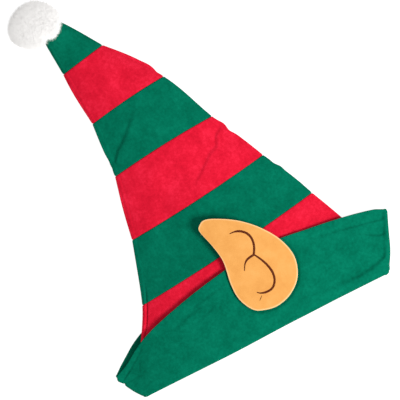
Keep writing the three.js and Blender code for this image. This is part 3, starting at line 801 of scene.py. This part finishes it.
ear_lines = [  # in millimetres from the middle of the mouth
    [(13.4, 116.1), (19.7, 115.6), (25.9, 112.8), (30.9, 107.3), (32.7, 99.8), (30.9, 91.1), (26.7, 83.6)],
    [(26.7, 83.6), (18.4, 82.3), (13.4, 78.6), (9.7, 72.3)],
    [
        (26.9, 83.9), (31.8, 75), (35.4, 65.3), (36.6, 55.4), (33.9, 46.6), (28.1, 41.3), (20.7, 40.6),
        (14.7, 42.3), (11.4, 44.8),
    ],
    [(14.4, 39.1), (12.4, 37.3), (10.2, 35.5)],
]
thread_width = 0.5 * mm
stitch_step = 0.36 * mm  # from one thread to the next, which overlap
line_width = 3 * mm
end_width = 1.1 * mm


def new_tree(name, shape, numbers, result):
    """A geometry tree that takes a shape and some numbers, and the sockets that give them."""
    tree = bpy.data.node_groups.new(name, "GeometryNodeTree")
    tree.interface.new_socket(shape, in_out="INPUT", socket_type="NodeSocketGeometry")
    for label in numbers:
        tree.interface.new_socket(label, in_out="INPUT", socket_type="NodeSocketFloat")
    tree.interface.new_socket(result, in_out="OUTPUT", socket_type="NodeSocketGeometry")
    return tree, add(tree, "NodeGroupInput").outputs


def stitch_tree(material):
    """Lays a thread across a line at every step along it, as wide as the line is there."""
    tree, given = new_tree("satin_stitches", "Line", ["Step", "Thread width"], "Stitches")
    curve = add(tree, "GeometryNodeMeshToCurve", {"Mesh": given["Line"]})
    spacing = {"Curve": curve, "Length": given["Step"]}
    even = add(tree, "GeometryNodeResampleCurve", spacing, mode="LENGTH")
    tangent = add(tree, "GeometryNodeInputTangent")
    facing = add(tree, "FunctionNodeAlignRotationToVector", {"Vector": tangent}, axis="X", pivot_axis="Z")
    width = add(tree, "GeometryNodeInputNamedAttribute", {"Name": "line_width"}, data_type="FLOAT")
    size = add(
        tree,
        "ShaderNodeCombineXYZ",
        {"X": given["Thread width"], "Y": width.outputs["Attribute"], "Z": given["Thread width"]},
    )
    thread = add(tree, "GeometryNodeMeshUVSphere", {"Segments": 6, "Rings": 6, "Radius": 0.5})
    laid = add(
        tree,
        "GeometryNodeInstanceOnPoints",
        {
            "Points": even,
            "Instance": thread.outputs["Mesh"],
            "Rotation": facing,
            "Scale": size,
        },
    )
    real = add(tree, "GeometryNodeRealizeInstances", {"Geometry": laid})
    dyed = add(tree, "GeometryNodeSetMaterial", {"Geometry": real, "Material": material})
    add(tree, "NodeGroupOutput", {0: dyed})
    return tree


def grown(base, tree, values):
    """The mesh that a tree makes on an object, with its inputs set by their identifiers."""
    modifier = base.modifiers.new(tree.name, "NODES")
    modifier.node_group = tree
    for item in tree.interface.items_tree:
        if item.in_out == "INPUT" and item.name in values:
            modifier[item.identifier] = values[item.name]
    graph = bpy.context.evaluated_depsgraph_get()
    mesh = bpy.data.meshes.new_from_object(base.evaluated_get(graph))
    base.modifiers.remove(modifier)
    return mesh


# Twisted polyester thread: a dull dark brown with a faint gleam along each stitch.
thread_brown, thread_tree = new_material("embroidery_thread_brown")
values = {"Base Color": linear("#571F02"), "Roughness": 0.6, "Specular IOR Level": 0.15}
thread_shader = add(thread_tree, "ShaderNodeBsdfPrincipled", values)
add(thread_tree, "ShaderNodeOutputMaterial", {"Surface": thread_shader})

tapers = [  # how wide each line is along its length, from 0 for end_width to 1 for line_width
    lambda share: smooth(share, 0, 0.3),  # the outer line runs on into the branch at full width
    lambda share: smooth(1 - share, 0, 0.8),
    lambda share: smooth(share, -0.25, 0.3) * smooth(1 - share, 0, 0.3),
    lambda share: 0 * share - 0.2,  # the tack that holds the lobe down, thinner than any end
]
verts, edges, widths = [], [], []
for line, taper_of in zip(ear_lines, tapers):
    steps = np.linspace(0, len(line) - 1, num=60)
    x = spline([p[0] * mm for p in line], steps)
    y = spline([p[1] * mm for p in line], steps)
    z = upper_ear_seat(x, y) + ear_thickness + 0.1 * mm
    start = len(verts)
    verts += np.stack([x, y, z], 1).tolist()
    edges += [(start + k, start + k + 1) for k in range(len(steps) - 1)]
    widths += (end_width + (line_width - end_width) * taper_of(steps / steps[-1])).tolist()
line_mesh = bpy.data.meshes.new("ear_lines")
line_mesh.from_pydata(place_in_frame(np.array(verts)).tolist(), edges, [])
line_mesh.attributes.new("line_width", "FLOAT", "POINT").data.foreach_set("value", widths)
line_base = new_object("ear_lines", line_mesh)
stitched = grown(line_base, stitch_tree(thread_brown), {"Step": stitch_step, "Thread width": thread_width})
bpy.data.objects.remove(line_base)
stitches = new_object("ear_stitches", stitched)
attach(stitches, "root")


# The pompom: short dense white fur round a soft core, tied on over the gathered tip. The hairs are drawn
# thicker and fewer than real ones, which are finer than a tenth of a millimetre.

pompom_low, pompom_high = (np.array(corner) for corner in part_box("pompom"))
pompom_middle = (pompom_low + pompom_high) / 2
pompom_size = pompom_high - pompom_low
fur_length = 8 * mm
fur_stand = 0.65  # how far the leaning hairs stand out, as a share of their length
hair_count = 19500
hair_thickness = 0.22 * mm
hair_lean = 1.1  # the most that a hair leans to any side, against 1 of standing up
hair_curl = 3 * mm
hair_clearance = 0.1 * mm  # above the table
core_size = pompom_size / 2 - fur_length * fur_stand


def fur_tree(material):
    """Stands a tapered hair on each of many points over a core, leaning and curling at random. Table is
    the height below which no hair goes."""
    numbers = ["Density", "Length", "Thickness", "Lean", "Curl", "Table"]
    tree, given = new_tree("pompom_fur", "Core", numbers, "Fur")
    full = add(tree, "GeometryNodeInputNamedAttribute", {"Name": "fullness"}, data_type="FLOAT")
    density = add(
        tree, "ShaderNodeMath", {0: given["Density"], 1: full.outputs["Attribute"]}, operation="MULTIPLY"
    )
    points = add(
        tree,
        "GeometryNodeDistributePointsOnFaces",
        {"Mesh": given["Core"], "Density": density, "Seed": 4},
    )
    hair = add(
        tree,
        "GeometryNodeMeshCone",
        {"Vertices": 3, "Side Segments": 2, "Radius Top": 0.0, "Radius Bottom": 1.0, "Depth": 1.0},
        fill_type="NGON",
    )
    lean = add(
        tree,
        "FunctionNodeRandomValue",
        {0: (-1.0, -1.0, -1.0), 1: (1.0, 1.0, 1.0), "Seed": 7},
        data_type="FLOAT_VECTOR",
    )
    leaned = add(tree, "ShaderNodeVectorMath", {0: lean, "Scale": given["Lean"]}, operation="SCALE")
    facing = add(tree, "ShaderNodeVectorMath", {0: points.outputs["Normal"], 1: leaned}, operation="ADD")
    turned = add(tree, "FunctionNodeAlignRotationToVector", {"Vector": facing}, axis="Z")
    share = add(tree, "FunctionNodeRandomValue", {2: 0.72, 3: 1.08, "Seed": 9}, data_type="FLOAT")
    tall = add(tree, "ShaderNodeMath", {0: given["Length"], 1: share.outputs[1]}, operation="MULTIPLY")
    size = add(tree, "ShaderNodeCombineXYZ", {"X": given["Thickness"], "Y": given["Thickness"], "Z": tall})
    planted = add(
        tree,
        "GeometryNodeInstanceOnPoints",
        {
            "Points": points.outputs["Points"],
            "Instance": hair.outputs["Mesh"],
            "Rotation": turned,
            "Scale": size,
        },
    )
    real = add(tree, "GeometryNodeRealizeInstances", {"Geometry": planted})
    locks = add(tree, "ShaderNodeTexNoise", {"Scale": 260.0, "Detail": 1.0})  # about 4 mm apart
    centred = add(
        tree, "ShaderNodeVectorMath", {0: locks.outputs["Color"], 1: (0.5, 0.5, 0.5)}, operation="SUBTRACT"
    )
    moved = add(tree, "ShaderNodeVectorMath", {0: centred, "Scale": given["Curl"]}, operation="SCALE")
    curled = add(tree, "GeometryNodeSetPosition", {"Geometry": real, "Offset": moved})
    spot = add(tree, "ShaderNodeSeparateXYZ", {0: add(tree, "GeometryNodeInputPosition")})
    above = add(tree, "ShaderNodeMath", {0: spot.outputs["Z"], 1: given["Table"]}, operation="MAXIMUM")
    laid = add(tree, "ShaderNodeCombineXYZ", {"X": spot.outputs["X"], "Y": spot.outputs["Y"], "Z": above})
    pressed = add(tree, "GeometryNodeSetPosition", {"Geometry": curled, "Position": laid})
    dyed = add(tree, "GeometryNodeSetMaterial", {"Geometry": pressed, "Material": material})
    add(tree, "NodeGroupOutput", {0: dyed})
    return tree


# Dull white acrylic fur, bright and even because light passes between real hairs. The hairs are shaded
# mostly as the ball that they make up, turned a little upwards, and the correction that darkens faces
# turned away from their shading is off.
shading_pull = (2.0, 2.0, 2.0)  # of the ball's direction, against 1 of the hair's own
upward_pull = (0.0, 0.0, 1.3)
fur_white, white_tree = new_material("acrylic_fur_white")
where = add(white_tree, "ShaderNodeTexCoord").outputs["Object"]
from_middle = add(
    white_tree, "ShaderNodeVectorMath", {0: where, 1: tuple(pompom_middle)}, operation="SUBTRACT"
)
outwards = add(white_tree, "ShaderNodeVectorMath", {0: from_middle}, operation="NORMALIZE")
raised = add(white_tree, "ShaderNodeVectorMath", {0: outwards, 1: upward_pull}, operation="ADD")
own = add(white_tree, "ShaderNodeNewGeometry")
blended = add(
    white_tree,
    "ShaderNodeVectorMath",
    {0: raised, 1: shading_pull, 2: own.outputs["Normal"]},
    operation="MULTIPLY_ADD",
)
facing = add(white_tree, "ShaderNodeVectorMath", {0: blended}, operation="NORMALIZE")
values = {
    "Base Color": linear("#E4E2E0"),
    "Roughness": 0.9,
    "Specular IOR Level": 0.05,
    "Normal": facing,
}
white_shader = add(white_tree, "ShaderNodeBsdfPrincipled", values)
add(white_tree, "ShaderNodeOutputMaterial", {"Surface": white_shader})
fur_white.cycles.use_bump_map_correction = False

# The fur parts where the cone's tip comes in, so the core is drawn back there and the hairs are few.
tip_entry = np.array([-72.5 * mm, 400.5 * mm, 0])  # from the middle of the mouth
parting = hat_origin + tip_entry - pompom_middle
parting_turn = math.atan2(parting[1], parting[0])
parting_width = 0.24  # half of it, in radians round the pompom
parting_depth = 0.28  # as a share of the core's size
parting_bareness = 0.8
lumpiness = 0.02  # as a share of the core's size
bm = bmesh.new()
bmesh.ops.create_icosphere(bm, subdivisions=5, radius=1)
fullness = []
for v in bm.verts:
    turned = math.remainder(math.atan2(v.co.y, v.co.x) - parting_turn, 2 * math.pi)
    parted = math.exp(-((turned / parting_width) ** 2)) * (1 - smooth(v.co.z, 0.6, 0.95))
    fullness.append(1 - parting_bareness * parted)
    lumps = math.sin(5 * v.co.x + 0.6) + math.sin(6 * v.co.y + 2.1) + math.sin(5 * v.co.z + 4)
    size = 1 + lumpiness * lumps - parting_depth * parted
    v.co = Vector(pompom_middle + np.array(v.co) * core_size * size)
core_mesh = bpy.data.meshes.new("pompom_core")
bm.to_mesh(core_mesh)
bm.free()
core_mesh.attributes.new("fullness", "FLOAT", "POINT").data.foreach_set("value", fullness)
core_mesh.shade_smooth()
core_mesh.materials.append(fur_white)
core = new_object("pompom_core", core_mesh)
a, b, c = core_size
power = 1.6  # which gives an ellipsoid's area to about one per cent
core_area = 4 * math.pi * (((a * b) ** power + (a * c) ** power + (b * c) ** power) / 3) ** (1 / power)
fur_values = {
    "Density": hair_count / core_area,
    "Length": fur_length,
    "Thickness": hair_thickness,
    "Lean": hair_lean,
    "Curl": hair_curl,
    "Table": hair_clearance,
}
fur = new_object("pompom_fur", grown(core, fur_tree(fur_white), fur_values))
# Light passes between real hairs, so these throw no shadow and don't grey each other.
fur.visible_shadow = False
fur.visible_diffuse = False
for piece in (core, fur):
    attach(piece, "root")
    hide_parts("pompom")


# The table under the hat, the light from past its mouth, and the camera straight above it. The camera is
# turned so that the hat's length runs up and to the left of the picture, as in the photograph.

scene = bpy.context.scene
scene.view_settings.view_transform = "Standard"
table_half = 3.0  # metres
table_mesh = bpy.data.meshes.new("table")
table_corners = [(x * table_half, y * table_half, 0) for x, y in ((-1, -1), (1, -1), (1, 1), (-1, 1))]
table_mesh.from_pydata(table_corners, [], [(0, 1, 2, 3)])
table = new_object("table", table_mesh)

# White paper lit from below, on which the hat throws no shadow.
paper, paper_tree = new_material("matt_white_paper")
values = {
    "Base Color": linear("#8C8C8C"),
    "Roughness": 0.95,
    "Specular IOR Level": 0.0,
    "Emission Color": linear("#FFFFFF"),
    "Emission Strength": 0.9,
}
paper_shader = add(paper_tree, "ShaderNodeBsdfPrincipled", values)
add(paper_tree, "ShaderNodeOutputMaterial", {"Surface": paper_shader})
table_mesh.materials.append(paper)

world = bpy.data.worlds.new("studio")
scene.world = world
world.use_nodes = True
sky = world.node_tree.nodes["Background"].inputs
sky["Color"].default_value = linear("#FFFFFF")
sky["Strength"].default_value = 0.665

picture_middle = hat_origin + np.array([0.7 * mm, 164.1 * mm, 0])  # from the middle of the mouth
lamp_distance = 1.6
to_lamp = Vector((0.65, -0.76, 1.45)).normalized()
lamp_data = bpy.data.lights.new("key", "AREA")
lamp_data.shape = "DISK"
lamp_data.size = 0.55
lamp_data.energy = 27
lamp = new_object("key", lamp_data)
lamp.location = Vector(picture_middle) + to_lamp * lamp_distance
lamp.rotation_mode = "QUATERNION"
lamp.rotation_quaternion = to_lamp.to_track_quat("Z", "Y")

picture_roll = math.atan2(1, 2)  # the mouth's fold climbs to the right by one in two
view_width = 443.5 * mm  # of the table, across the picture
camera_height = 8.0
camera_data = bpy.data.cameras.new("camera")
camera_data.sensor_width = 36
camera_data.lens = camera_data.sensor_width * camera_height / view_width
camera_data.clip_end = 20
camera = new_object("camera", camera_data)
camera.location = Vector(picture_middle) + Vector((0, 0, camera_height))
camera.rotation_euler = (0, 0, -picture_roll)
scene.camera = camera
